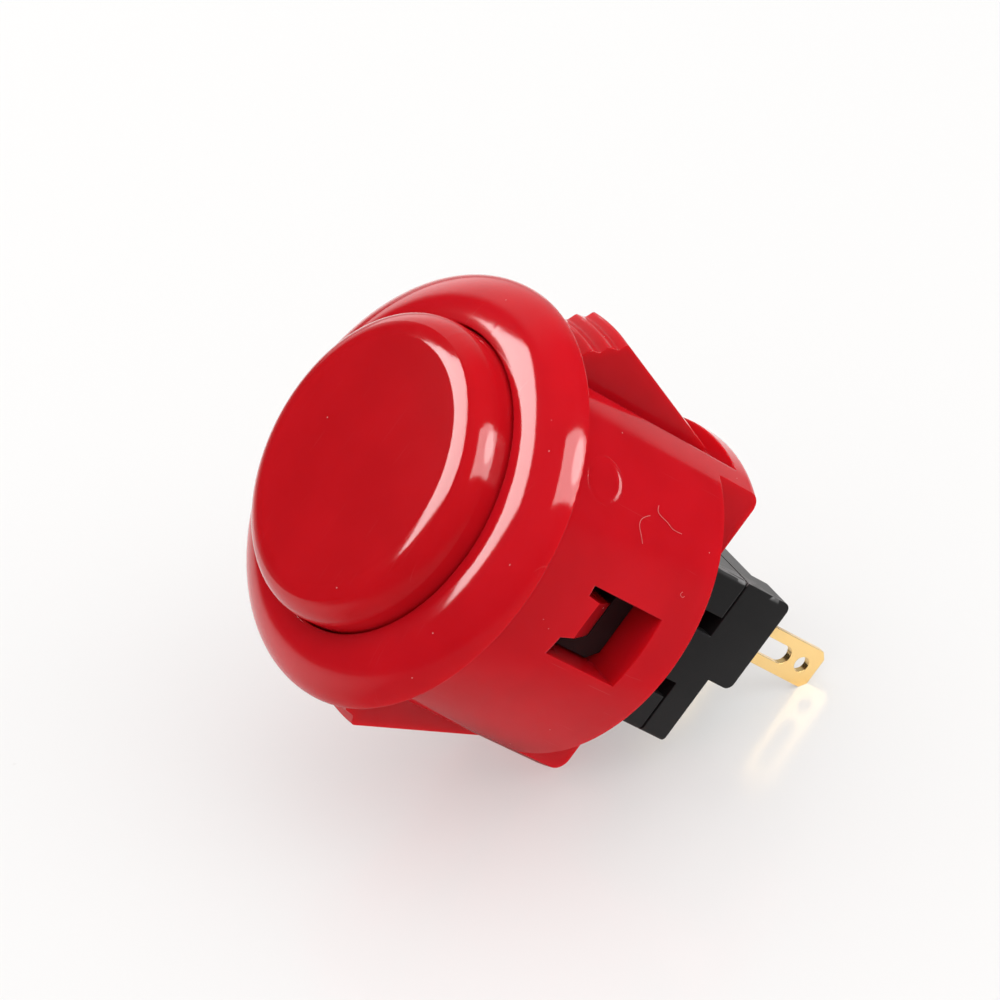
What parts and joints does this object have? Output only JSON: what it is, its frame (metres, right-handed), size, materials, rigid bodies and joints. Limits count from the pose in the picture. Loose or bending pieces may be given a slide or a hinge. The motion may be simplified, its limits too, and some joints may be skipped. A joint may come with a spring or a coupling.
{
  "type": "snap-in push button",
  "caption": "Round snap-in push button with a domed cap in a wide bezel, stepped snap tongues and a microswitch with plug-on blade terminals at its rear.",
  "frame": {"origin": "centre of the bezel's underside, in the plane of the panel's front face", "axes": "+Z along the plunger out of the panel, +X towards a snap tongue, -Y towards the side window that the picture shows"},
  "size_m": [0.0294, 0.0282, 0.0369],
  "materials": {
    "red_plastic": "moulded gloss",
    "red_plastic_cap": "moulded gloss",
    "black_plastic": "moulded satin",
    "gold_plated_brass": "plated, bright",
    "contact_metal": "bright",
    "bridge_brass": "stamped",
    "spring_steel": "drawn wire"
  },
  "bodies": {
    "housing": {"housing": "red_plastic", "switch_case": "black_plastic", "switch_base": "black_plastic", "terminal_near": "gold_plated_brass", "terminal_far": "gold_plated_brass", "fixed_contact_near": "contact_metal", "fixed_contact_far": "contact_metal", "return_spring": "spring_steel"},
    "plunger": {"plunger": "red_plastic_cap"},
    "actuator": {"actuator": "black_plastic", "contact_spring": "spring_steel"},
    "bridge": {"contact_bridge": "bridge_brass", "moving_contact_near": "contact_metal", "moving_contact_far": "contact_metal"}
  },
  "joints": [
    {"name": "plunger_slide", "type": "slide", "parent": "housing", "child": "plunger", "axis": [0, 0, -1], "range_m": [0, 0.0024], "stiffness_N_per_m": 200, "springref_m": -0.001},
    {"name": "actuator_slide", "type": "slide", "parent": "housing", "child": "actuator", "axis": [0, 0, -1], "range_m": [0, 0.0024], "deforming": ["return_spring"]},
    {"name": "bridge_slide", "type": "slide", "parent": "actuator", "child": "bridge", "axis": [0, 0, 1], "range_m": [0, 0.0012], "deforming": ["contact_spring"]}
  ],
  "couplings": [
    {"joint": "actuator_slide", "follows": "plunger_slide", "ratio": 1},
    {"joint": "bridge_slide", "follows": "plunger_slide", "ratio": 0.5}
  ]
}
